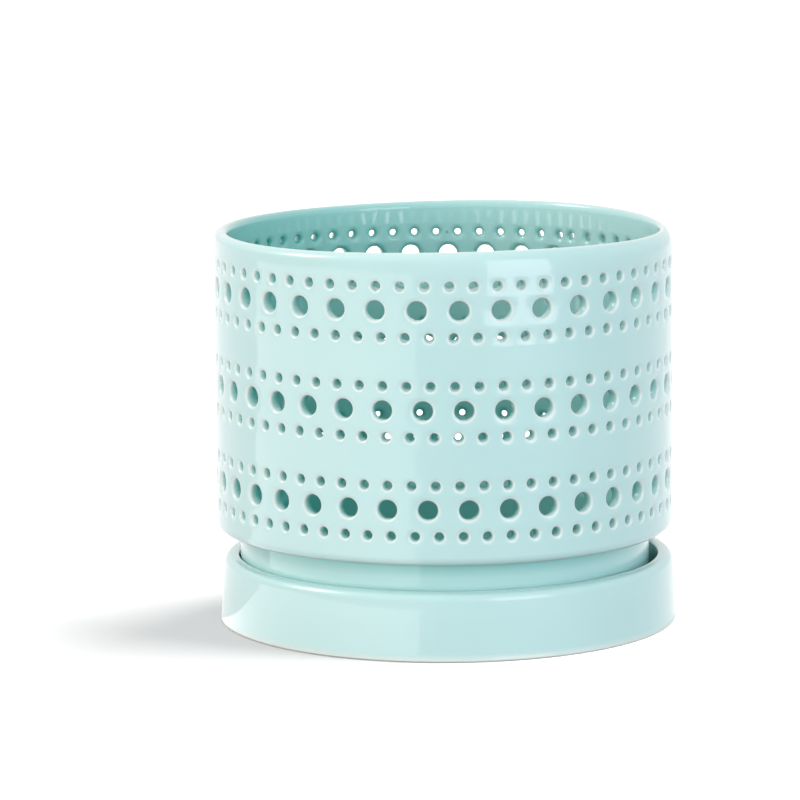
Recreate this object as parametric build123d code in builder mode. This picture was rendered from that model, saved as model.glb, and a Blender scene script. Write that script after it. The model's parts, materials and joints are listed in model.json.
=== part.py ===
"""Glazed orchid pot with bands of round air holes, standing in its deep saucer.

Millimetres, +Z up. The origin is the centre of the saucer's underside, on the
surface that the saucer stands on. The front of the pot faces -Y.
"""
import os

from build123d import *

os.makedirs("parts", exist_ok=True)

# Shared
cut_overrun = 1.0
glaze_round = 0.8
rest_clearance = 0.3

# Pot: plain cylinder over a narrower foot that drops into the basin
pot_radius = 75.0
pot_height = 123.0
pot_wall = 4.6
shoulder_step = 7.5
shoulder_gap = 8.5
shoulder_round = 2.6
neck_round = 1.6
foot_round = 2.4
foot_ring_width = 7.0
foot_recess_depth = 4.5
floor_thickness = 6.0
rim_outer_round = 1.4
rim_inner_round = 1.9
inner_step_raise = 2.0
inner_step_round = 3.0

# Drain hole through the pot's floor
drain_radius = 7.5
drain_edge_round = 1.2

# Saucer: basin, outer wall that widens downwards, and foot ring
basin_play = 1.5
basin_depth = 15.2
basin_floor_height = 7.0
basin_corner_round = 2.0
saucer_wall = 5.1
saucer_flare = 1.3
saucer_lip_outer_round = 3.0
saucer_lip_inner_round = 1.2
saucer_foot_ring_width = 6.0
saucer_foot_ring_depth = 2.0

# Air holes: small and large, each with a mouth that the glaze has rounded
large_hole_radius = 3.1
large_mouth_round = 0.4
small_hole_radius = 1.5
small_mouth_round = 0.55
small_hole_taper = 0.45

# Bands of holes: a row of large holes between two rows of small ones
band_count = 3
rim_to_top_band = 18.4
shoulder_to_bottom_band = 17.9
large_to_upper_small = 7.7
large_to_lower_small = 8.4
large_per_row = 36
small_per_row = 61

# Where each row's first hole stands, in degrees from the front towards +X
first_large_angle = 3.8
first_upper_small_angle = 1.6
first_lower_small_angle = 2.4
band_turn = 1.1

# The top band was spaced by eye: it has one large hole less, and its upper small
# holes were set from the front both ways round, and meet behind in a narrow gap
top_large_per_row = 35
top_first_small_angle = 1.4
right_run_end = 142.3
right_run_gaps = 24
left_run_end = -213.9
left_run_gaps = 36

# Places that follow from the sizes above
pot_foot_radius = pot_radius - shoulder_step
pot_inner_radius = pot_radius - pot_wall
foot_inner_radius = pot_foot_radius - pot_wall
foot_recess_radius = pot_foot_radius - foot_ring_width
pot_shift = rest_clearance - basin_play
basin_radius = pot_foot_radius + basin_play
saucer_lip_radius = basin_radius + saucer_wall
saucer_base_radius = saucer_lip_radius + saucer_flare
saucer_recess_radius = saucer_base_radius - saucer_foot_ring_width
saucer_height = basin_floor_height + basin_depth
foot_bottom_height = basin_floor_height
floor_underside_height = foot_bottom_height + foot_recess_depth
floor_top_height = floor_underside_height + floor_thickness
shoulder_height = saucer_height + shoulder_gap
inner_step_height = shoulder_height + inner_step_raise
rim_height = foot_bottom_height + pot_height
top_band_height = rim_height - rim_to_top_band
bottom_band_height = shoulder_height + shoulder_to_bottom_band
band_pitch = (top_band_height - bottom_band_height) / (band_count - 1)


def hole_tool(bore_radius, mouth_round, taper):
    """One hole's cutting solid, along +X, with the pot's axis at the origin."""
    inner_end = pot_inner_radius - cut_overrun
    mouth_end = pot_radius + cut_overrun
    with BuildPart() as tool:
        with BuildSketch(Plane.XZ):
            Polygon(
                (inner_end, 0),
                (inner_end, bore_radius - taper),
                (pot_radius - mouth_round, bore_radius),
                (mouth_end, bore_radius + mouth_round + cut_overrun),
                (mouth_end, 0),
                align=None,
            )
        revolve(axis=Axis.X)
    return tool.part


def pierce_row(tool, height, count, first_angle, turn=360, endpoint=False):
    """Cuts a row of holes, evenly spaced over a turn of the wall."""
    with Locations((pot_shift, 0, height)):
        with PolarLocations(0, count, first_angle - 90, turn, endpoint=endpoint):
            add(tool, mode=Mode.SUBTRACT)


# The saucer: a low basin with a flared outer wall and a recessed underside
with BuildPart() as saucer:
    with BuildSketch(Plane.XZ):
        with BuildLine():
            FilletPolyline(
                (0, saucer_foot_ring_depth),
                (saucer_recess_radius - saucer_foot_ring_depth, saucer_foot_ring_depth),
                (saucer_recess_radius, 0),
                (saucer_base_radius, 0),
                (saucer_lip_radius, saucer_height),
                (basin_radius, saucer_height),
                (basin_radius, basin_floor_height),
                (0, basin_floor_height),
                radius=(
                    glaze_round,
                    glaze_round,
                    glaze_round,
                    saucer_lip_outer_round,
                    saucer_lip_inner_round,
                    basin_corner_round,
                ),
            )
            Line((0, basin_floor_height), (0, saucer_foot_ring_depth))
        make_face()
    revolve(axis=Axis.Z)

large_tool = hole_tool(large_hole_radius, large_mouth_round, 0)
small_tool = hole_tool(small_hole_radius, small_mouth_round, small_hole_taper)

# The pot: wall, shoulder, foot and floor turned in one piece, then pierced
with BuildPart() as pot:
    with BuildSketch(Plane((pot_shift, 0, 0), x_dir=(1, 0, 0), z_dir=(0, -1, 0))):
        with BuildLine():
            FilletPolyline(
                (drain_radius, floor_underside_height),
                (foot_recess_radius - foot_recess_depth, floor_underside_height),
                (foot_recess_radius, foot_bottom_height),
                (pot_foot_radius, foot_bottom_height),
                (pot_foot_radius, shoulder_height),
                (pot_radius, shoulder_height),
                (pot_radius, rim_height),
                (pot_inner_radius, rim_height),
                (pot_inner_radius, inner_step_height + pot_wall),
                (foot_inner_radius, inner_step_height),
                (foot_inner_radius, floor_top_height),
                (drain_radius, floor_top_height),
                (drain_radius, floor_underside_height),
                close=True,
                radius=(
                    drain_edge_round,
                    glaze_round,
                    glaze_round,
                    foot_round,
                    neck_round,
                    shoulder_round,
                    rim_outer_round,
                    rim_inner_round,
                    inner_step_round,
                    inner_step_round,
                    inner_step_round,
                    drain_edge_round,
                ),
            )
        make_face()
    revolve(axis=Axis((pot_shift, 0, 0), (0, 0, 1)))
    for band in range(band_count):
        turn = band * band_turn
        height = top_band_height - band * band_pitch
        upper = height + large_to_upper_small
        lower = height - large_to_lower_small
        pierce_row(small_tool, lower, small_per_row, first_lower_small_angle + turn)
        if band == 0:
            pierce_row(large_tool, height, top_large_per_row, first_large_angle)
            right_run = right_run_end - top_first_small_angle
            left_run = top_first_small_angle - left_run_end
            pierce_row(small_tool, upper, right_run_gaps + 1, top_first_small_angle, right_run, endpoint=True)
            pierce_row(small_tool, upper, left_run_gaps, left_run_end, left_run)
        else:
            pierce_row(large_tool, height, large_per_row, first_large_angle + turn)
            pierce_row(small_tool, upper, small_per_row, first_upper_small_angle + turn)

saucer.part.label = "saucer"
export_step(saucer.part, "parts/saucer.step", write_pcurves=False)
pot.part.label = "pot"
export_step(pot.part, "parts/pot.step", write_pcurves=False)
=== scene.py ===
"""Glazed orchid pot in its saucer: the finished surfaces, and the studio that they are seen in.

Metres, +Z up, with the origin at the centre of the saucer's underside. The front of
the pot faces -Y. The frame gives where each piece stands and how large it is.
"""

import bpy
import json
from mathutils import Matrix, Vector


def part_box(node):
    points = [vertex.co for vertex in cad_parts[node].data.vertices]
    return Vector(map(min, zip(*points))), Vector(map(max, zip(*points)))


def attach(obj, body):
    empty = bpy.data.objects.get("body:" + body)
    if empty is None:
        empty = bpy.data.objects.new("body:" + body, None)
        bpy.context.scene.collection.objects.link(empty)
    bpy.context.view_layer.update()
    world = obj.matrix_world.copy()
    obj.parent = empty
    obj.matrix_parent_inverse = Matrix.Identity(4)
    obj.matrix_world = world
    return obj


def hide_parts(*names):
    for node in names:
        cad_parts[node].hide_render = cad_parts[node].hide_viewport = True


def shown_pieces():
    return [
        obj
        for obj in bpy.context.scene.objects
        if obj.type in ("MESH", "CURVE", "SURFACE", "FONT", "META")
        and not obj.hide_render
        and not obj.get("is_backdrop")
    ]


bl_info = {
    "name": "Orchid Pot",
    "version": (1, 0, 0),
    "blender": (4, 5, 0),
    "location": "View3D > Sidebar > Orchid Pot",
    "description": "Makes a pierced orchid pot and its saucer in glazed stoneware, with a white studio",
    "category": "Add Mesh",
}

import json
from math import atan2, cos, pi, radians, sin, tan, tau

import bmesh
import bpy
from mathutils import Matrix, Vector, noise

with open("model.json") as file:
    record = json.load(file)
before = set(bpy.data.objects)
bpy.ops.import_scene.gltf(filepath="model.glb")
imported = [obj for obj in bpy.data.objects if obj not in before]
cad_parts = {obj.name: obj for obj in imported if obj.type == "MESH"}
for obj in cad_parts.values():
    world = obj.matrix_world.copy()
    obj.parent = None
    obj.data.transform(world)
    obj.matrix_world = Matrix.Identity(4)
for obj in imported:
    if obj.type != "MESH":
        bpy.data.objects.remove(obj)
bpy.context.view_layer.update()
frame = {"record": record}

MM = 0.001
# Vertices nearer than WELD are merged; heights and radii nearer than LEVEL count as the same
WELD = 0.005 * MM
LEVEL = 0.01 * MM

pot_low, pot_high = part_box("pot")
saucer_low, saucer_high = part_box("saucer")
POT_CENTRE = (pot_low[0] + pot_high[0]) / 2
POT_RADIUS = (pot_high[0] - pot_low[0]) / 2
drain = next(m for m in frame["record"]["mounts"] if m["name"] == "drain_hole")
DRAIN_RADIUS = drain["dims"]["r_mm"] * MM


def linear(hex_colour):
    """The linear colour that the shaders take, from an sRGB hex value."""
    parts = [int(hex_colour[i : i + 2], 16) / 255 for i in (1, 3, 5)]
    return (*(p / 12.92 if p <= 0.04045 else ((p + 0.055) / 1.055) ** 2.4 for p in parts), 1.0)


def length(title, about, millimetres):
    """A size that a user may change, given in millimetres."""
    return bpy.props.FloatProperty(
        name=title, description=about, default=millimetres * MM, min=0, unit="LENGTH", precision=5
    )


def colour(title, about, hex_colour):
    """A colour that a user may change, given as sRGB hex."""
    return bpy.props.FloatVectorProperty(
        name=title, description=about, default=linear(hex_colour), size=4, min=0, max=1, subtype="COLOR"
    )


class PotSizes(bpy.types.PropertyGroup):
    wall: length("Wall", "Thickness of the pot's wall", 4.6)
    foot_radius: length("Foot radius", "Outer radius of the foot that stands in the saucer", 67.5)
    foot_round: length("Foot rounding", "Rounding under the foot's outer edge", 2.4)
    foot_ring: length("Foot ring", "Width of the ring that the pot stands on", 7.0)
    foot_recess: length("Foot recess", "Height of the floor's underside over the foot ring", 4.5)
    floor_thickness: length("Floor", "Thickness of the pot's floor", 6.0)
    shoulder_height: length("Shoulder height", "Height of the shoulder over the ground", 30.7)
    shoulder_round: length("Shoulder rounding", "Rounding of the wall into the shoulder", 2.6)
    neck_round: length("Neck rounding", "Rounding of the shoulder into the foot", 1.6)
    step_raise: length("Inner step", "How far the inner step lies above the shoulder", 2.0)
    step_round: length("Step rounding", "Rounding of the inner step and the floor's corner", 2.4)
    step_edge: length("Step edge", "Rounding of the inner step's upper edge", 1.0)
    rim_outer_round: length("Outer rim rounding", "Rounding of the rim's outer edge", 2.6)
    rim_inner_round: length("Inner rim rounding", "Rounding of the rim's inner edge", 2.4)
    rim_collar: length("Rim collar", "Height of the plain wall that the rim's waves fade out in", 7.5)
    rim_lean_in: length("Rim lean", "How far the rim's outer face leans in at +X, its softest side", 1.6)
    rim_sink: length("Rim sink", "How far the uneven rim lies under its full height on average", 0.42)
    drain_edge: length("Drain edge", "Rounding of the drain hole's edges", 1.2)
    glaze_round: length("Glaze rounding", "Rounding that the glaze gives an edge on the foot", 0.8)


class HoleSizes(bpy.types.PropertyGroup):
    large_radius: length("Large hole", "Radius of a large hole", 3.1)
    large_mouth: length("Large mouth", "How far the glaze has rounded a large hole's mouth", 0.6)
    small_radius: length("Small hole", "Radius of a small hole at its mouth", 1.5)
    small_mouth: length("Small mouth", "How far the glaze has rounded a small hole's mouth", 0.55)
    small_taper: length("Small taper", "How much a small hole narrows through the wall", 0.45)
    large_dish: length("Large dish", "Width of the faint dish round a large hole", 0.8)
    small_dish: length("Small dish", "Width of the faint dish round a small hole", 0.75)
    inner_dish: length("Inner dish", "Width of the deeper dish round each hole inside", 1.1)
    top_band: length("Top band", "Distance from the rim down to the top large row", 18.4)
    bottom_band: length("Bottom band", "Distance from the shoulder up to the bottom large row", 17.9)
    upper_small: length("Upper small row", "Distance from a row of large holes up to the small row", 7.7)
    lower_small: length("Lower small row", "Distance from a row of large holes down to the small row", 8.4)
    small_patch: length("Small patch", "Half the height of the wall that a small hole is cut in", 2.95)
    patch_gap: length("Patch gap", "Height of the seam between two rows of patches", 0.3)
    bands: bpy.props.IntProperty(name="Bands", description="Number of bands of holes", default=3)
    large_count: bpy.props.IntProperty(name="Large holes", description="Large holes in a row", default=36)
    top_large_count: bpy.props.IntProperty(
        name="Top large holes", description="Large holes in the top row, which was spaced by eye", default=35
    )
    small_count: bpy.props.IntProperty(name="Small holes", description="Small holes in a row", default=61)


class SaucerSizes(bpy.types.PropertyGroup):
    lip_radius: length("Lip radius", "Outer radius at the lip, before its rounding", 74.1)
    basin_radius: length("Basin radius", "Radius of the basin", 69.0)
    basin_floor: length("Basin floor", "Height of the basin's floor over the ground", 7.0)
    basin_corner: length("Basin corner", "Rounding between the basin's floor and wall", 2.0)
    lip_outer_round: length("Outer lip rounding", "Rounding of the lip into the outer wall", 3.0)
    lip_inner_round: length("Inner lip rounding", "Rounding of the lip into the basin", 1.2)
    foot_ring: length("Foot ring", "Width of the ring that the saucer stands on", 6.0)
    foot_recess: length("Foot recess", "Depth of the recess inside the foot ring", 2.0)
    glaze_round: length("Glaze rounding", "Rounding that the glaze gives the foot's edges", 0.8)
    wave: length("Waviness", "How far the hand-finished wall and lip wander", 0.3)


class GlazeLook(bpy.types.PropertyGroup):
    glaze: colour("Glaze", "Colour of the glaze where it lies evenly", "#C8E8E4")
    cool_glaze: colour("Cool glaze", "Colour of the glaze where it ran a little thinner", "#BCE1E0")
    pooled_and_shade: colour("Pooled glaze", "Colour of the glaze where it has gathered thickly", "#62BDB6")
    # Pooled glaze and painted shade: this deep colour is laid into hollows, the bores, under the shoulder
    # and inside the pot, where shade falls
    thin: colour("Thin glaze", "Colour at an edge that the glaze has drawn back from", "#F0F1EC")
    clay: colour("Bare clay", "Colour of the fired clay under the foot rings", "#E6DCCB")
    speck: colour("Speck", "Colour of the few iron specks in the glaze", "#5FA69D")


def pot_corners(pot):
    """Heights and radii that the parts of the pot share."""
    return {
        "inner": POT_RADIUS - pot.wall,
        "foot_inner": pot.foot_radius - pot.wall,
        "foot_recess": pot.foot_radius - pot.foot_ring,
        "underside": pot_low[2] + pot.foot_recess,
        "floor": pot_low[2] + pot.foot_recess + pot.floor_thickness,
        "foot_top": pot.shoulder_height + FOOT_TOP_SHARE * pot.shoulder_round,
        "step": pot.shoulder_height + pot.step_raise,
        "step_top": pot.shoulder_height + pot.step_raise + pot.wall + STEP_TOP_SHARE * pot.step_edge,
        "collar": pot_high[2] - pot.rim_collar,
        "rim": pot_high[2],
    }


# Segments in each rounding of an outline
POT_SEGMENTS = 5
SAUCER_SEGMENTS = 6


def spin_outline(bm, corners, steps, segments):
    """Turns an outline of (radius, height, rounding) corners round the Z axis."""
    verts = [bm.verts.new((radius, 0, height)) for radius, height, _ in corners]
    for pair in zip(verts, verts[1:]):
        bm.edges.new(pair)
    places = [vert.co.copy() for vert in verts]
    for before, place, after, vert, corner in zip(places, places[1:], places[2:], verts[1:], corners[1:]):
        if corner[2]:
            turn = (place - before).angle(after - place)
            bmesh.ops.bevel(
                bm, geom=[vert], offset=corner[2] * tan(turn / 2), offset_type="OFFSET",
                segments=segments, profile=0.5, affect="VERTICES", material=-1,
            )
    wire = [e for e in bm.edges if e.is_wire]
    outline = list(dict.fromkeys(v for e in wire for v in e.verts))
    bmesh.ops.spin(
        bm, geom=outline + wire, cent=(0, 0, 0), axis=(0, 0, 1), dvec=(0, 0, 0),
        angle=tau, steps=steps, use_merge=True,
    )


def loop_edges(verts):
    """The edges that join the given vertices to one another."""
    chosen = set(verts)
    return list(dict.fromkeys(e for v in verts for e in v.link_edges if e.other_vert(v) in chosen))


# Where the first hole of each row stands, from the front towards +X
FIRST_LARGE = radians(3.8)
FIRST_UPPER_SMALL = radians(1.6)
FIRST_LOWER_SMALL = radians(2.4)
BAND_TURN = radians(1.1)
# The top small row: where it starts in front and where its runs end behind, with their gaps
TOP_FIRST_SMALL = radians(1.4)
RIGHT_RUN_END = radians(142.3)
RIGHT_RUN_GAPS = 24
LEFT_RUN_END = radians(-213.9)
LEFT_RUN_GAPS = 36
# The lowest row comes close to the inner step, so its patches are cut shorter inside
INNER_PATCH_LOW = 2.0 * MM
# How steeply the dishes round the holes fall, outside and inside
DISH_SLOPE = 0.16
INNER_SLOPE = 0.36
# A hole's loops keep inside this share of its patch
LOOP_LIMIT_SHARE = 0.95
# The first vertex counted round a patch lies no lower than this turn under the hole's middle
FIRST_VERTEX_SLACK = 0.01


def patch_edge(bm, hole, sides):
    """The edge of a patch of wall, in order round its hole; sides are left, right, low and high."""
    left, right, low, high = sides
    centre = Vector(((right - left) / 2, 0, (high - low) / 2))
    size = Matrix.Diagonal((left + right, 1, low + high, 1))
    grid = bmesh.ops.create_grid(
        bm, x_segments=hole["across"], y_segments=hole["upright"], size=0.5,
        matrix=Matrix.Translation(centre) @ size @ Matrix.Rotation(pi / 2, 4, "X"),
    )["verts"]
    faces = list(dict.fromkeys(f for v in grid for f in v.link_faces))
    bmesh.ops.delete(bm, geom=faces, context="FACES_KEEP_BOUNDARY")

    def turn(vert):
        across = (vert.co.x - centre.x) / (left + right)
        upright = (vert.co.z - centre.z) / (low + high)
        return (atan2(upright, across) + FIRST_VERTEX_SLACK) % tau

    return sorted((v for v in grid if v.is_valid), key=turn)


def next_loop(bm, loop):
    """Extrudes a closed loop of vertices; the new ones come in the same order."""
    made = bmesh.ops.extrude_edge_only(bm, edges=loop_edges(loop))["geom"]
    new = {item for item in made if isinstance(item, bmesh.types.BMVert)}
    return [next(e.other_vert(v) for e in v.link_edges if e.other_vert(v) in new) for v in loop]


def hole_loops(hole, wall):
    """A hole from its outer dish to its inner one: radius, depth, thin glaze, and pooled glaze with painted
    shade in the bore.
    """
    bore, mouth, dish, inside = hole["bore"], hole["mouth"], hole["dish"], hole["inner_dish"]
    throat = bore - hole["taper"]
    edge = bore + mouth
    sunk = DISH_SLOPE * dish
    hollow = INNER_SLOPE * inside
    return [
        (edge + dish, 0, 0, 0),
        (edge + 0.5 * dish, 0.55 * sunk, 0, 0),
        (edge + 0.15 * mouth, sunk, 0.6, 0),
        (edge - 0.45 * mouth, sunk + 0.35 * mouth, 1, 0),
        # Down the bore, the last value paints shade as deeper glaze colour
        (bore, sunk + 1.3 * mouth, 0.15, 0.15),
        (throat, wall - hollow - 1.4 * mouth, 0, 0.4),
        (throat + 0.6 * mouth, wall - hollow - 0.5 * mouth, 0, 0.4),
        (throat + mouth + 0.35 * inside, wall - 0.6 * hollow, 0, 0.1),
        (throat + mouth + inside, wall, 0, 0),
    ]


def hole_patch(bm, hole, sides, inner_sides, wall, glaze):
    """One hole in its patch of the unrolled wall: x along the wall, y into it, z up."""
    loop = patch_edge(bm, hole, sides)
    edge_places = [vert.co.copy() for vert in loop]
    # An odd number of upright segments has no vertex level with the hole's middle
    first = 0.5 if hole["upright"] % 2 else 0
    verts = list(loop)
    for radius, depth, thin, pooled_and_shade in hole_loops(hole, wall):
        loop = next_loop(bm, loop)
        verts += loop
        reaches = sides if depth < wall else inner_sides
        left, right, low, high = (LOOP_LIMIT_SHARE * side for side in reaches)
        for index, vert in enumerate(loop):
            turn = (index + first) * tau / len(loop)
            across = min(max(radius * cos(turn), -left), right)
            upright = min(max(radius * sin(turn), -low), high)
            vert.co = (across, depth, upright)
            vert[glaze["thin"]] = thin
            vert[glaze["pooled_and_shade"]] = pooled_and_shade
    loop = next_loop(bm, loop)
    verts += loop
    for vert, place in zip(loop, edge_places):
        across = place.x * inner_sides[1] / sides[1]
        upright = place.z * (inner_sides[2] / sides[2] if place.z < 0 else 1)
        vert.co = (across, wall, upright)
    for vert in verts:
        reach = POT_RADIUS - vert.co.y
        turn = vert.co.x / reach
        vert.co = (reach * sin(turn), -reach * cos(turn), vert.co.z)
    return verts


def copy_round(bm, verts, height, first_turn, pitch, copies):
    """Lifts a patch to its row, turns it to its place and repeats it round the pot."""
    bmesh.ops.rotate(bm, verts=verts, cent=(0, 0, 0), matrix=Matrix.Rotation(first_turn, 3, "Z"))
    bmesh.ops.translate(bm, verts=verts, vec=(0, 0, height))
    if copies:
        faces = list(dict.fromkeys(f for v in verts for f in v.link_faces))
        bmesh.ops.spin(
            bm, geom=verts + loop_edges(verts) + faces, cent=(0, 0, 0), axis=(0, 0, 1),
            dvec=(0, 0, 0), angle=pitch * copies, steps=copies, use_duplicate=True,
        )


def even_run(count, first_turn):
    """One run of holes evenly spaced all round: first turn, pitch, extra copies, gaps beside them."""
    pitch = tau / count
    return [(first_turn, pitch, count - 1, pitch, pitch)]


def meeting_runs():
    """The top small row: runs set from the front both ways round, which meet behind in a narrow gap."""
    right = (RIGHT_RUN_END - TOP_FIRST_SMALL) / RIGHT_RUN_GAPS
    left = (TOP_FIRST_SMALL - LEFT_RUN_END) / LEFT_RUN_GAPS
    meeting = tau - (RIGHT_RUN_END - LEFT_RUN_END)
    return [
        (TOP_FIRST_SMALL, 0, 0, left, right),
        (TOP_FIRST_SMALL + right, right, RIGHT_RUN_GAPS - 2, right, right),
        (RIGHT_RUN_END, 0, 0, right, meeting),
        (LEFT_RUN_END, 0, 0, meeting, left),
        (LEFT_RUN_END + left, left, LEFT_RUN_GAPS - 2, left, left),
    ]


def pierced_row(bm, row, pot):
    """A ring of wall with one row of holes, each in a patch that reaches halfway to the next."""
    glaze = glaze_layers(bm)
    shrink = (POT_RADIUS - pot.wall) / POT_RADIUS
    for first_turn, pitch, copies, gap_left, gap_right in row["runs"]:
        left, right = POT_RADIUS * gap_left / 2, POT_RADIUS * gap_right / 2
        sides = (left, right, row["low"], row["high"])
        inner = (left * shrink, right * shrink, row.get("inner_low", row["low"]), row["high"])
        patch = hole_patch(bm, row["hole"], sides, inner, pot.wall, glaze)
        copy_round(bm, patch, row["height"], first_turn, pitch, copies)
    bmesh.ops.remove_doubles(bm, verts=bm.verts, dist=WELD)


def join_loops(bm, open_edges, radius, upper, lower):
    """Closes the wall between two open loops of one radius."""
    pair = [
        edge
        for edge in open_edges
        if all(abs(v.co.xy.length - radius) < LEVEL for v in edge.verts)
        and any(all(abs(v.co.z - height) < LEVEL for v in edge.verts) for height in (upper, lower))
    ]
    bmesh.ops.bridge_loops(bm, edges=pair)


def add_part(bm, make, *values):
    """Makes a part in a bmesh of its own, which is quicker, and adds it to the whole."""
    part = bmesh.new()
    make(part, *values)
    mesh = bpy.data.meshes.new("part")
    part.to_mesh(mesh)
    part.free()
    bm.from_mesh(mesh)
    bpy.data.meshes.remove(mesh)


def hole_rows(pot, holes):
    """Every row of holes from the top down, with the span of wall that it is cut in.

    A hole's values for across and upright count the segments along the sides of its patch.
    """
    large = {
        "bore": holes.large_radius, "mouth": holes.large_mouth, "taper": 0,
        "dish": holes.large_dish, "inner_dish": holes.inner_dish, "across": 7, "upright": 5,
    }
    small = {
        "bore": holes.small_radius, "mouth": holes.small_mouth, "taper": holes.small_taper,
        "dish": holes.small_dish, "inner_dish": holes.inner_dish, "across": 3, "upright": 3,
    }
    top = pot_high[2] - holes.top_band
    bottom = pot.shoulder_height + holes.bottom_band
    patch = holes.small_patch
    rows = []
    for band in range(holes.bands):
        height = top + (bottom - top) * band / (holes.bands - 1)
        turn = band * BAND_TURN
        upper = {
            "hole": small, "height": height + holes.upper_small, "low": patch, "high": patch,
            "runs": even_run(holes.small_count, FIRST_UPPER_SMALL + turn) if band else meeting_runs(),
        }
        large_count = holes.large_count if band else holes.top_large_count
        middle = {
            "hole": large, "height": height, "runs": even_run(large_count, FIRST_LARGE + turn),
            "low": holes.lower_small - patch - holes.patch_gap,
            "high": holes.upper_small - patch - holes.patch_gap,
        }
        lower = {
            "hole": small, "height": height - holes.lower_small, "low": patch, "high": patch,
            "runs": even_run(holes.small_count, FIRST_LOWER_SMALL + turn),
        }
        rows += [upper, middle, lower]
    rows[-1]["inner_low"] = INNER_PATCH_LOW
    return rows


def glaze_layers(bm):
    """The vertex values that the glaze is painted by."""
    return {name: bm.verts.layers.float.new(name) for name in ("thin", "pooled_and_shade", "bare")}


def mark_rings(bm, layer, rings):
    """Raises a glaze value near rings of (radius, height, reach, value)."""
    for vert in bm.verts:
        for radius, height, reach, value in rings:
            away = ((vert.co.xy.length - radius) ** 2 + (vert.co.z - height) ** 2) ** 0.5
            vert[layer] = max(vert[layer], value * max(0, 1 - away / reach))


def mark_foot_ring(bm, layer, inner, outer, height):
    """Leaves the flat underside of a foot ring unglazed."""
    for vert in bm.verts:
        if inner < vert.co.xy.length < outer and abs(vert.co.z - height) < LEVEL:
            vert[layer] = 1


def smooth_step(share):
    """Eases a share from 0 to 1, level at both ends."""
    share = min(max(share, 0), 1)
    return share * share * (3 - 2 * share)


def finish_piece(bm, name, body, node, material):
    """Makes the mesh an object that rides on its body and stands for its plain solid."""
    bmesh.ops.remove_doubles(bm, verts=bm.verts, dist=WELD)
    bmesh.ops.recalc_face_normals(bm, faces=bm.faces)
    for face in bm.faces:
        face.smooth = True
    mesh = bpy.data.meshes.new(name)
    bm.to_mesh(mesh)
    bm.free()
    piece = bpy.data.objects.new(name, mesh)
    bpy.context.scene.collection.objects.link(piece)
    mesh.materials.append(material)
    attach(piece, body)
    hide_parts(node)
    return piece


# How many steps the rim and the foot are turned in
RIM_STEPS = 248
FOOT_STEPS = 244
# The rim was trimmed by hand: how often it rises round the pot, how far, and where it is highest
RIM_WAVES = (
    (1, 0.45 * MM, radians(123)),
    (2, 0.34 * MM, radians(-10)),
    (3, 0.32 * MM, radians(19)),
)
# Two extra rings on the foot, this far from its ends, keep the glaze's colours near the ends
COLOUR_RING_GAP = 5 * MM
# How far the foot's outline runs on over its last roundings, as shares of them
FOOT_TOP_SHARE = 1.2
STEP_TOP_SHARE = 0.7
# Thin glaze at an edge, and pooled glaze with painted shade in a corner and under the shoulder: how far it
# reaches, and how much of it there is
RIM_THIN = (1.5 * MM, 0.9)
SHOULDER_THIN = (1.1 * MM, 0.8)
FOOT_THIN = (2.0 * MM, 0.6)
NECK_POOL_AND_SHADE = (7 * MM, 0.75)
FLOOR_POOL_AND_SHADE = (2.25 * MM, 0.3)
# Painted shade inside: the glaze is darkened towards -X, the inner wall turned from the key light, and
# towards the floor
INSIDE_SHADE = 0.32
INSIDE_SHADE_SIDEWAYS = 0.36
INSIDE_SHADE_DOWNWARDS = 0.5


def add_rim(bm, pot, at):
    """The plain collar over the holes, with the rim's rounded edges."""
    add_part(bm, spin_outline, [
        (POT_RADIUS, at["collar"], 0),
        (POT_RADIUS, at["collar"] + pot.rim_collar / 4, 0),
        (POT_RADIUS, at["collar"] + pot.rim_collar / 2, 0),
        (POT_RADIUS, at["rim"], pot.rim_outer_round),
        (at["inner"], at["rim"], pot.rim_inner_round),
        (at["inner"], at["collar"] + pot.rim_collar / 2, 0),
        (at["inner"], at["collar"], 0),
    ], RIM_STEPS, POT_SEGMENTS)


def add_foot(bm, pot, at):
    """Everything under the holes: shoulder, foot, foot ring, drain hole, floor and inner step."""
    add_part(bm, spin_outline, [
        (POT_RADIUS, at["foot_top"], 0),
        (POT_RADIUS, pot.shoulder_height, pot.shoulder_round),
        (pot.foot_radius, pot.shoulder_height, pot.neck_round),
        (pot.foot_radius, pot.shoulder_height - COLOUR_RING_GAP, 0),
        (pot.foot_radius, pot_low[2] + COLOUR_RING_GAP, 0),
        (pot.foot_radius, pot_low[2], pot.foot_round),
        (at["foot_recess"], pot_low[2], pot.glaze_round),
        (at["foot_recess"] - pot.foot_recess, at["underside"], pot.glaze_round),
        (DRAIN_RADIUS, at["underside"], pot.drain_edge),
        (DRAIN_RADIUS, at["floor"], pot.drain_edge),
        (at["foot_inner"], at["floor"], pot.step_round),
        (at["foot_inner"], at["step"], pot.step_round),
        (at["inner"], at["step"] + pot.wall, pot.step_edge),
        (at["inner"], at["step_top"], 0),
    ], FOOT_STEPS, POT_SEGMENTS)


def join_wall(bm, rows, at):
    """Closes the seams between the rim, the rows of holes and the foot, outside and inside."""
    open_edges = [e for e in bm.edges if e.is_boundary]
    wall_top = rows[0]["height"] + rows[0]["high"]
    for radius in (POT_RADIUS, at["inner"]):
        for upper, lower in zip(rows, rows[1:]):
            seam = upper["height"] - upper["low"], lower["height"] + lower["high"]
            join_loops(bm, open_edges, radius, *seam)
        join_loops(bm, open_edges, radius, at["collar"], wall_top)
    join_loops(bm, open_edges, POT_RADIUS, rows[-1]["height"] - rows[-1]["low"], at["foot_top"])
    join_loops(bm, open_edges, at["inner"], rows[-1]["height"] - rows[-1]["inner_low"], at["step_top"])


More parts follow.
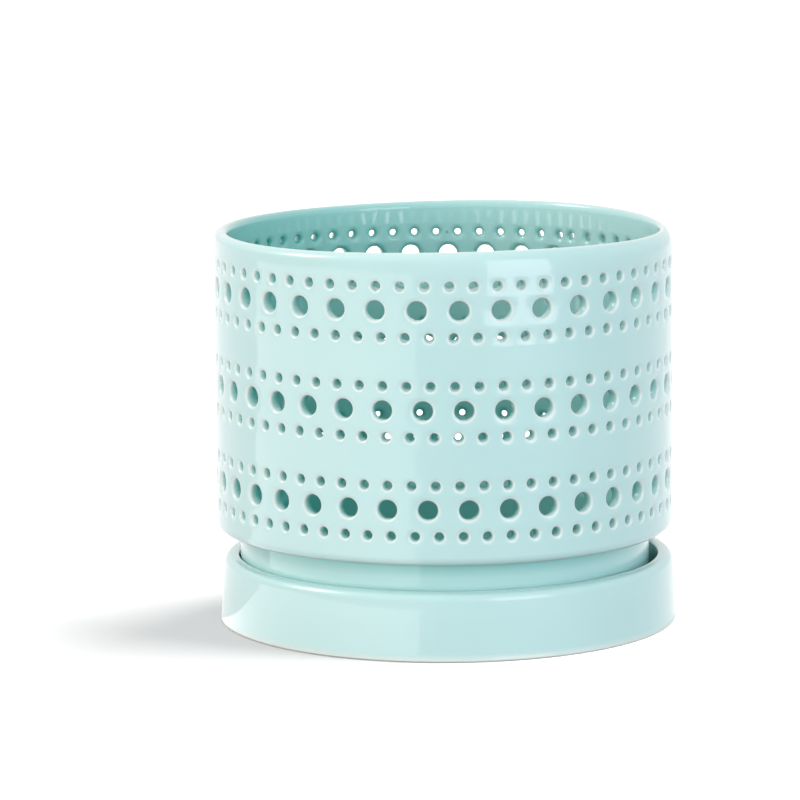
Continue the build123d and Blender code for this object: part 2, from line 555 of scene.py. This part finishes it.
def glaze_pot(bm, glaze, pot, at):
    """Thin glaze on the pot's edges, pooled glaze with painted shade in its corners, under the shoulder and
    inside, a bare foot ring.
    """
    mark_rings(bm, glaze["thin"], [
        (POT_RADIUS - pot.rim_outer_round, at["rim"], *RIM_THIN),
        (POT_RADIUS - 0.6 * pot.shoulder_round, pot.shoulder_height, *SHOULDER_THIN),
        (pot.foot_radius, pot_low[2], *FOOT_THIN),
    ])
    mark_foot_ring(bm, glaze["bare"], at["foot_recess"], pot.foot_radius, pot_low[2])
    mark_rings(bm, glaze["pooled_and_shade"], [(at["foot_inner"], at["floor"], *FLOOR_POOL_AND_SHADE)])
    # Painted shade inside the pot: darker towards -X and towards the floor
    for vert in bm.verts:
        reach = vert.co.xy.length
        outer = POT_RADIUS if vert.co.z > at["step"] else pot.foot_radius
        if reach < outer - pot.wall / 2 and vert.co.z > at["underside"]:
            sideways = max(INSIDE_SHADE - INSIDE_SHADE_SIDEWAYS * vert.co.x / reach, 0)
            downwards = INSIDE_SHADE_DOWNWARDS * (1 - vert.co.z / at["rim"])
            vert[glaze["pooled_and_shade"]] += sideways + downwards
    # Painted shade on the foot under the shoulder's overhang, with some pooled glaze
    mark_rings(bm, glaze["pooled_and_shade"], [(pot.foot_radius, pot.shoulder_height, *NECK_POOL_AND_SHADE)])


def trim_rim(bm, pot, at):
    """Gives the rim its uneven height, and leans its outer face in, most at +X."""
    for vert in bm.verts:
        rise = smooth_step((vert.co.z - at["collar"]) / pot.rim_collar)
        if rise:
            reach = vert.co.xy.length
            turn = atan2(vert.co.x, -vert.co.y)
            swell = sum(height * cos(times * (turn - crest)) for times, height, crest in RIM_WAVES)
            vert.co.z += rise * (swell - pot.rim_sink)
            outwards = (reach - at["inner"]) / pot.wall
            lean = pot.rim_lean_in * (1 + sin(turn)) / 2
            vert.co.xy *= 1 - lean * outwards * rise**2 / reach


def make_pot(pot, holes, material):
    """The pot: rows of holes joined into a wall, closed by the rim above and the foot below."""
    at = pot_corners(pot)
    bm = bmesh.new()
    glaze = glaze_layers(bm)
    rows = hole_rows(pot, holes)
    for row in rows:
        add_part(bm, pierced_row, row, pot)
    add_rim(bm, pot, at)
    add_foot(bm, pot, at)
    join_wall(bm, rows, at)
    glaze_pot(bm, glaze, pot, at)
    trim_rim(bm, pot, at)
    bmesh.ops.translate(bm, verts=bm.verts, vec=(POT_CENTRE, 0, 0))
    return finish_piece(bm, "glazed_pot", "pot", "pot", material)


# How many steps the saucer is turned in, and the length of the waves in its wall and lip
SAUCER_STEPS = 256
WAVE_LENGTH = 28 * MM
# Thin and missing glaze on the saucer, and pooled glaze with painted shade in its basin's corner: how far it
# reaches, and how much of it there is
LIP_THIN = (1.6 * MM, 0.9)
BASE_THIN = (1.6 * MM, 0.8)
BASE_BARE = (1.1 * MM, 1)
BASIN_POOL_AND_SHADE = (7 * MM, 0.9)


def make_saucer(saucer, material):
    """The saucer: its outline turned in one piece, with a slight hand-finished waviness."""
    base_radius = (saucer_high[0] - saucer_low[0]) / 2
    flare = (base_radius - saucer.lip_radius) / (saucer_high[2] - saucer.glaze_round)
    recess = base_radius - saucer.foot_ring
    bm = bmesh.new()
    glaze = glaze_layers(bm)
    top = saucer_high[2]
    spin_outline(bm, [
        (0, saucer.foot_recess, 0),
        (recess - saucer.foot_recess, saucer.foot_recess, saucer.glaze_round),
        (recess, 0, saucer.glaze_round),
        (base_radius, 0, saucer.glaze_round),
        (base_radius - flare * top / 8, top / 8, 0),
        (base_radius - flare * top / 2, top / 2, 0),
        (saucer.lip_radius, top, saucer.lip_outer_round),
        (saucer.basin_radius, top, saucer.lip_inner_round),
        (saucer.basin_radius, saucer.basin_floor, saucer.basin_corner),
        (saucer.basin_radius / 2, saucer.basin_floor, 0),
        (0, saucer.basin_floor, 0),
    ], SAUCER_STEPS, SAUCER_SEGMENTS)
    bmesh.ops.remove_doubles(bm, verts=bm.verts, dist=WELD)
    mark_rings(bm, glaze["thin"], [
        (saucer.basin_radius, top, *LIP_THIN),
        (base_radius, 0, *BASE_THIN),
    ])
    mark_foot_ring(bm, glaze["bare"], recess, base_radius, 0)
    mark_rings(bm, glaze["bare"], [(base_radius, 0, *BASE_BARE)])
    # Pooled glaze and painted shade in the basin's corner
    mark_rings(bm, glaze["pooled_and_shade"], [(saucer.basin_radius, saucer.basin_floor, *BASIN_POOL_AND_SHADE)])
    for vert in bm.verts:
        reach = vert.co.xy.length
        if reach < saucer.basin_radius - saucer.lip_inner_round or vert.co.z < saucer.glaze_round:
            continue
        sink = saucer.wave * (1 + noise.noise(vert.co / WAVE_LENGTH)) / 2
        vert.co.z -= sink * (vert.co.z / top) ** 2
        if reach > saucer.lip_radius - saucer.lip_outer_round:
            vert.co.xy *= 1 - sink / reach
    return finish_piece(bm, "glazed_saucer", "saucer", "saucer", material)


def add_node(tree, kind, inputs=None, **settings):
    """Adds a node with its settings; inputs are values, or sockets to link."""
    node = tree.nodes.new(kind)
    for name, value in settings.items():
        setattr(node, name, value)
    for name, value in (inputs or {}).items():
        if isinstance(value, bpy.types.NodeSocket):
            tree.links.new(value, node.inputs[name])
        else:
            node.inputs[name].default_value = value
    return node


def new_material(name):
    """An empty node material and its tree."""
    material = bpy.data.materials.new(name)
    material.use_nodes = True
    material.node_tree.nodes.clear()
    return material, material.node_tree


# Sockets of a Mix node that blends two colours
MIX_FACTOR, MIX_A, MIX_B, MIX_RESULT = 0, 6, 7, 2
# Real sizes of what the glaze shows, and how far its surface rises and falls
CLOUD_SIZE = 45 * MM
SPECK_SPACING = 16 * MM
# Radius of a speck as a share of the spacing, and the share of places that have one
SPECK_RADIUS_SHARE = 0.04
SPECK_PLACES_SHARE = 0.16
BREAK_SIZE = 4 * MM
SETTLE_SIZE = 14 * MM
SETTLE_HEIGHT = 0.03 * MM
PEEL_SIZE = 1.6 * MM
PEEL_HEIGHT = 0.0025 * MM


def gloss_celadon(look):
    """Pale celadon glaze, dipped and kiln-fired on white stoneware.

    Molten glass levels itself, so it shines like wet glass with a slow waviness. It runs thin
    and pale off sharp edges; its deeper colour in hollows and inside is pooled glaze and painted shade.
    """
    if "gloss_celadon" in bpy.data.materials:
        return bpy.data.materials["gloss_celadon"]
    material, tree = new_material("gloss_celadon")
    place = add_node(tree, "ShaderNodeTexCoord").outputs["Object"]
    clouds = add_node(tree, "ShaderNodeTexNoise", {
        "Vector": place, "Scale": 1 / CLOUD_SIZE, "Detail": 3, "Roughness": 0.55,
    })
    tone = add_node(tree, "ShaderNodeMix", {
        MIX_FACTOR: clouds.outputs["Fac"], MIX_A: look.glaze, MIX_B: look.cool_glaze,
    }, data_type="RGBA")
    pooled_and_shade = add_node(tree, "ShaderNodeAttribute", attribute_name="pooled_and_shade")
    # Painted shade with pooled glaze: this value darkens the glaze towards the deep colour in hollows and
    # inside
    deep = add_node(tree, "ShaderNodeMix", {
        MIX_FACTOR: pooled_and_shade.outputs["Fac"], MIX_A: tone.outputs[MIX_RESULT], MIX_B: look.pooled_and_shade,
    }, data_type="RGBA")

    spots = add_node(tree, "ShaderNodeTexVoronoi", {"Vector": place, "Scale": 1 / SPECK_SPACING})
    chosen = add_node(tree, "ShaderNodeSeparateColor", {"Color": spots.outputs["Color"]})
    rare = add_node(tree, "ShaderNodeMath", {
        0: chosen.outputs["Red"], 1: SPECK_PLACES_SHARE,
    }, operation="LESS_THAN")
    dot = add_node(tree, "ShaderNodeMapRange", {
        "Value": spots.outputs["Distance"],
        "From Min": 0.6 * SPECK_RADIUS_SHARE, "From Max": SPECK_RADIUS_SHARE,
        "To Min": 0.8, "To Max": 0,
    })
    speck = add_node(tree, "ShaderNodeMath", {
        0: rare.outputs[0], 1: dot.outputs["Result"],
    }, operation="MULTIPLY")
    specked = add_node(tree, "ShaderNodeMix", {
        MIX_FACTOR: speck.outputs[0], MIX_A: deep.outputs[MIX_RESULT], MIX_B: look.speck,
    }, data_type="RGBA")

    thin = add_node(tree, "ShaderNodeAttribute", attribute_name="thin")
    breaks = add_node(tree, "ShaderNodeTexNoise", {
        "Vector": place, "Scale": 1 / BREAK_SIZE, "Detail": 2, "Roughness": 0.6,
    })
    uneven = add_node(tree, "ShaderNodeMapRange", {
        "Value": breaks.outputs["Fac"], "From Min": 0.3, "From Max": 0.7, "To Min": 0.65, "To Max": 1.0,
    })
    edge = add_node(tree, "ShaderNodeMath", {
        0: thin.outputs["Fac"], 1: uneven.outputs["Result"],
    }, operation="MULTIPLY", use_clamp=True)
    broken = add_node(tree, "ShaderNodeMix", {
        MIX_FACTOR: edge.outputs[0], MIX_A: specked.outputs[MIX_RESULT], MIX_B: look.thin,
    }, data_type="RGBA")
    bare = add_node(tree, "ShaderNodeAttribute", attribute_name="bare")
    finished = add_node(tree, "ShaderNodeMix", {
        MIX_FACTOR: bare.outputs["Fac"], MIX_A: broken.outputs[MIX_RESULT], MIX_B: look.clay,
    }, data_type="RGBA")

    settle = add_node(tree, "ShaderNodeTexNoise", {
        "Vector": place, "Scale": 1 / SETTLE_SIZE, "Detail": 1, "Roughness": 0.4,
    })
    peel = add_node(tree, "ShaderNodeTexNoise", {
        "Vector": place, "Scale": 1 / PEEL_SIZE, "Detail": 2, "Roughness": 0.5,
    })
    waves = add_node(tree, "ShaderNodeBump", {
        "Height": settle.outputs["Fac"], "Strength": 1, "Distance": SETTLE_HEIGHT,
    })
    bump = add_node(tree, "ShaderNodeBump", {
        "Height": peel.outputs["Fac"], "Strength": 1, "Distance": PEEL_HEIGHT,
        "Normal": waves.outputs["Normal"],
    })
    dull = add_node(tree, "ShaderNodeMapRange", {
        "Value": bare.outputs["Fac"], "To Min": 0.32, "To Max": 0.8,
    })
    wet = add_node(tree, "ShaderNodeMapRange", {
        "Value": bare.outputs["Fac"], "To Min": 1, "To Max": 0,
    })
    surface = add_node(tree, "ShaderNodeBsdfPrincipled", {
        "Base Color": finished.outputs[MIX_RESULT],
        "Roughness": dull.outputs["Result"],
        "IOR": 1.5,
        "Specular IOR Level": 0.2,
        "Coat Weight": wet.outputs["Result"],
        "Coat Roughness": 0.03,
        "Coat IOR": 1.5,
        "Normal": bump.outputs["Normal"],
        "Coat Normal": bump.outputs["Normal"],
    })
    add_node(tree, "ShaderNodeOutputMaterial", {"Surface": surface.outputs["BSDF"]})
    return material


def white_paper(stage):
    """Matt white studio paper: it shows the object's shadow, and is white to the camera elsewhere."""
    material, tree = new_material("white_paper")
    path = add_node(tree, "ShaderNodeLightPath")
    shade = add_node(tree, "ShaderNodeMix", {
        MIX_FACTOR: path.outputs["Is Camera Ray"], MIX_A: stage.dim_paper, MIX_B: stage.paper,
    }, data_type="RGBA")
    paper = add_node(tree, "ShaderNodeBsdfDiffuse", {"Color": shade.outputs[MIX_RESULT]})
    mirrored = add_node(tree, "ShaderNodeMath", {
        0: path.outputs["Is Glossy Ray"], 1: path.outputs["Is Transmission Ray"],
    }, operation="ADD", use_clamp=True)
    strength = add_node(tree, "ShaderNodeMath", {
        0: path.outputs["Is Camera Ray"], 1: stage.paper_glow, 2: mirrored.outputs[0],
    }, operation="MULTIPLY_ADD")
    glow = add_node(tree, "ShaderNodeEmission", {"Color": (1, 1, 1, 1), "Strength": strength.outputs[0]})
    both = add_node(tree, "ShaderNodeAddShader", {0: paper.outputs[0], 1: glow.outputs[0]})
    add_node(tree, "ShaderNodeOutputMaterial", {"Surface": both.outputs[0]})
    return material


class StageSettings(bpy.types.PropertyGroup):
    camera_away: length("Camera distance", "How far the camera stands in front of the pot's axis", 1421.6)
    camera_side: bpy.props.FloatProperty(
        name="Camera side", description="Where the camera stands along X",
        default=-1.35 * MM, unit="LENGTH", precision=5,
    )
    camera_height: length("Camera height", "How high the camera stands over the ground", 298.3)
    camera_turn: bpy.props.FloatProperty(
        name="Camera turn", description="Turn of the camera to the right",
        default=radians(-0.577), subtype="ANGLE",
    )
    camera_tilt: bpy.props.FloatProperty(
        name="Camera tilt", description="How far the camera looks down",
        default=radians(9.044), subtype="ANGLE",
    )
    camera_roll: bpy.props.FloatProperty(
        name="Camera roll", description="Turn of the camera about its own line of sight",
        default=radians(-0.382), subtype="ANGLE",
    )
    lens: bpy.props.FloatProperty(
        name="Lens", description="Focal length of the lens in millimetres", default=196.85, min=1,
    )
    dome: bpy.props.FloatProperty(
        name="Dome", description="Brightness of the white room around the object", default=0.8, min=0,
    )
    paper: colour("Paper", "Colour of the studio paper to the camera", "#BABABA")
    dim_paper: colour("Dim paper", "Colour of the studio paper to the object, which it lights", "#4A4A4A")
    paper_glow: bpy.props.FloatProperty(
        name="Paper glow", description="How much the paper is lifted towards white", default=0.32, min=0,
    )
    floor_size: length("Floor", "Length of the floor's sides", 16000)


def add_lamp(name, place, aim, sides, radiance, tint, receivers, seen_in):
    """A soft rectangular lamp that faces a point; its power follows from how bright its face is."""
    data = bpy.data.lights.new(name, "AREA")
    data.shape = "RECTANGLE"
    data.size, data.size_y = sides
    data.energy = radiance * pi * sides[0] * sides[1]
    data.color = linear(tint)[:3]
    lamp = bpy.data.objects.new(name, data)
    bpy.context.scene.collection.objects.link(lamp)
    lamp.location = place
    lamp.rotation_mode = "QUATERNION"
    lamp.rotation_quaternion = (Vector(aim) - Vector(place)).to_track_quat("-Z", "Y")
    lamp.visible_camera = False
    lamp.visible_diffuse = seen_in != "gloss"
    lamp.visible_glossy = seen_in != "glaze"
    lamp.light_linking.receiver_collection = receivers
    return lamp


def round_place(away, azimuth, height):
    """A point round the pot: azimuth 0 is in front of it, and 90 degrees at +X."""
    turn = radians(azimuth)
    return POT_CENTRE + away * sin(turn), -away * cos(turn), height


# Lamps that light the object: distance from the pot's axis, azimuth, height, height that they aim
# at, sides, how bright the face is, its tint, and whether they show in the gloss, the glaze or both
MIDDLE = pot_high[2] / 2
LAMPS = {
    "left_softbox": (1.3, -85, 1.1, MIDDLE, (0.55, 0.55), 6.0, "#FFFFFF", "both"),
    "left_lamp": (1.3, -85, 1.1, MIDDLE, (0.5, 0.5), 16, "#FFFFFF", "gloss"),
    "left_fill": (1.6, -42, 0.2, MIDDLE, (0.9, 0.4), 4.1, "#FFFFFF", "glaze"),
    "front_fill": (1.8, 0, 0.35, MIDDLE, (0.9, 0.6), 3.3, "#FFFDFB", "glaze"),
    "cool_fill": (1.6, 48, 0.3, MIDDLE, (0.9, 0.6), 3.9, "#C4E7FF", "glaze"),
    "window": (0.42, 35, 0.178, 0.178, (0.225, 0.24), 2.4, "#FFF0FA", "gloss"),
}
# A bright card on the floor, which the gloss mirrors: its straight right edge runs from the pot's
# front towards the camera's left, starting a little to the left of the axis and just over the floor
CARD_AZIMUTH = -14
CARD_SIDES = (1.2, 1.4)
CARD_RADIANCE = 1.15
CARD_LEFT = 9 * MM
CARD_LIFT = 0.6 * MM
CARD_UNDER_POT = 50 * MM
# The broad light from far away that casts the object's shadow, the same everywhere on the floor
SUN_AZIMUTH = radians(106.6)
SUN_ELEVATION = radians(16)
SUN_WIDTH = radians(94)
SUN_STRENGTH = 23
# Width of a full-frame sensor in millimetres
SENSOR_WIDTH = 36


def add_lamps(receivers):
    """The lamps round the object."""
    for name, (away, azimuth, height, aim, sides, radiance, tint, seen_in) in LAMPS.items():
        place = round_place(away, azimuth, height)
        add_lamp(name, place, (POT_CENTRE, 0, aim), sides, radiance, tint, receivers, seen_in)


def add_card(receivers):
    """The bright card that lies on the floor and faces up."""
    width, depth = CARD_SIDES
    along = Vector(round_place(1, CARD_AZIMUTH, 0)) - Vector((POT_CENTRE, 0, 0))
    across = Vector((along.y, -along.x, 0))
    start = Vector((POT_CENTRE - CARD_LEFT, -POT_RADIUS, CARD_LIFT))
    middle = start + (depth / 2 - CARD_UNDER_POT) * along + width / 2 * across
    above = middle + Vector((0, 0, 1))
    card = add_lamp("bounce_card", middle, above, CARD_SIDES, CARD_RADIANCE, "#FFFFFF", receivers, "gloss")
    card.rotation_quaternion = Matrix((across, -along, (0, 0, -1))).transposed().to_quaternion()


def add_sun(receivers):
    """The light that casts the shadow on the floor."""
    data = bpy.data.lights.new("shadow_caster", "SUN")
    data.angle = SUN_WIDTH
    data.energy = SUN_STRENGTH
    lamp = bpy.data.objects.new("shadow_caster", data)
    bpy.context.scene.collection.objects.link(lamp)
    level = cos(SUN_ELEVATION)
    towards = Vector((sin(SUN_AZIMUTH) * level, -cos(SUN_AZIMUTH) * level, sin(SUN_ELEVATION)))
    lamp.rotation_mode = "QUATERNION"
    lamp.rotation_quaternion = (-towards).to_track_quat("-Z", "Y")
    lamp.light_linking.receiver_collection = receivers


def add_camera(stage):
    """The camera, in front of the pot and looking slightly down on it."""
    camera = bpy.data.objects.new("camera", bpy.data.cameras.new("camera"))
    bpy.context.scene.collection.objects.link(camera)
    bpy.context.scene.camera = camera
    camera.data.lens = stage.lens
    camera.data.sensor_width = SENSOR_WIDTH
    camera.data.clip_end = stage.floor_size
    camera.matrix_world = (
        Matrix.Translation((stage.camera_side, -stage.camera_away, stage.camera_height))
        @ Matrix.Rotation(-stage.camera_turn, 4, "Z")
        @ Matrix.Rotation(pi / 2 - stage.camera_tilt, 4, "X")
        @ Matrix.Rotation(stage.camera_roll, 4, "Z")
    )


def add_floor(stage):
    """The wide sheet of paper that the saucer stands on."""
    bm = bmesh.new()
    bmesh.ops.create_grid(bm, x_segments=1, y_segments=1, size=stage.floor_size / 2)
    mesh = bpy.data.meshes.new("floor")
    bm.to_mesh(mesh)
    bm.free()
    floor = bpy.data.objects.new("floor", mesh)
    bpy.context.scene.collection.objects.link(floor)
    mesh.materials.append(white_paper(stage))
    floor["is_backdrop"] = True
    return floor


def lit_by(name, objects):
    """A collection of the objects that some lamps are meant for."""
    collection = bpy.data.collections.new(name)
    for item in objects:
        collection.objects.link(item)
    return collection


def white_room(stage):
    """A white room all round: pure white to the camera and in the gloss, dimmer as a light."""
    world = bpy.data.worlds.new("white_room")
    bpy.context.scene.world = world
    world.use_nodes = True
    tree = world.node_tree
    tree.nodes.clear()
    path = add_node(tree, "ShaderNodeLightPath")
    seen = add_node(tree, "ShaderNodeMath", {
        0: path.outputs["Is Camera Ray"], 1: path.outputs["Is Glossy Ray"],
    }, operation="ADD")
    through = add_node(tree, "ShaderNodeMath", {
        0: seen.outputs[0], 1: path.outputs["Is Transmission Ray"],
    }, operation="ADD", use_clamp=True)
    strength = add_node(tree, "ShaderNodeMapRange", {
        "Value": through.outputs[0], "To Min": stage.dome, "To Max": 1,
    })
    room = add_node(tree, "ShaderNodeBackground", {
        "Color": (1, 1, 1, 1), "Strength": strength.outputs["Result"],
    })
    add_node(tree, "ShaderNodeOutputWorld", {"Surface": room.outputs[0]})


def make_stage(stage):
    """Camera, paper floor, lamps and white room."""
    add_camera(stage)
    floor_only = lit_by("floor_only", [add_floor(stage)])
    object_only = lit_by("object_only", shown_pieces())
    add_lamps(object_only)
    add_card(object_only)
    add_sun(floor_only)
    white_room(stage)
    bpy.context.scene.view_settings.view_transform = "Standard"


class ORCHID_OT_make_saucer(bpy.types.Operator):
    """Make the saucer that the pot stands in"""
    bl_idname = "orchid.make_saucer"
    bl_label = "Make Saucer"

    def execute(self, context):
        make_saucer(context.scene.orchid_saucer, gloss_celadon(context.scene.orchid_glaze))
        return {"FINISHED"}


class ORCHID_OT_make_pot(bpy.types.Operator):
    """Make the pierced pot"""
    bl_idname = "orchid.make_pot"
    bl_label = "Make Pot"

    def execute(self, context):
        scene = context.scene
        make_pot(scene.orchid_pot, scene.orchid_holes, gloss_celadon(scene.orchid_glaze))
        return {"FINISHED"}


class ORCHID_OT_make_stage(bpy.types.Operator):
    """Make the camera, the lamps and the white floor"""
    bl_idname = "orchid.make_stage"
    bl_label = "Make Stage"

    def execute(self, context):
        make_stage(context.scene.orchid_stage)
        return {"FINISHED"}


class ORCHID_PT_panel(bpy.types.Panel):
    bl_idname = "ORCHID_PT_panel"
    bl_label = "Orchid Pot"
    bl_space_type = "VIEW_3D"
    bl_region_type = "UI"
    bl_category = "Orchid Pot"

    def draw(self, context):
        layout = self.layout
        for name, group in SETTINGS.items():
            box = layout.box()
            box.label(text=group.__name__)
            settings = getattr(context.scene, name)
            for key in group.__annotations__:
                box.prop(settings, key)
        for operator in OPERATORS:
            layout.operator(operator.bl_idname)


SETTINGS = {
    "orchid_pot": PotSizes,
    "orchid_holes": HoleSizes,
    "orchid_saucer": SaucerSizes,
    "orchid_glaze": GlazeLook,
    "orchid_stage": StageSettings,
}
OPERATORS = (ORCHID_OT_make_saucer, ORCHID_OT_make_pot, ORCHID_OT_make_stage)


def register():
    for group in (*SETTINGS.values(), *OPERATORS, ORCHID_PT_panel):
        bpy.utils.register_class(group)
    for name, group in SETTINGS.items():
        setattr(bpy.types.Scene, name, bpy.props.PointerProperty(type=group))


def unregister():
    for name in SETTINGS:
        delattr(bpy.types.Scene, name)
    for group in reversed((*SETTINGS.values(), *OPERATORS, ORCHID_PT_panel)):
        bpy.utils.unregister_class(group)


def main():
    register()
    bpy.ops.orchid.make_saucer()
    bpy.ops.orchid.make_pot()
    bpy.ops.orchid.make_stage()


if __name__ == "__main__":
    main()
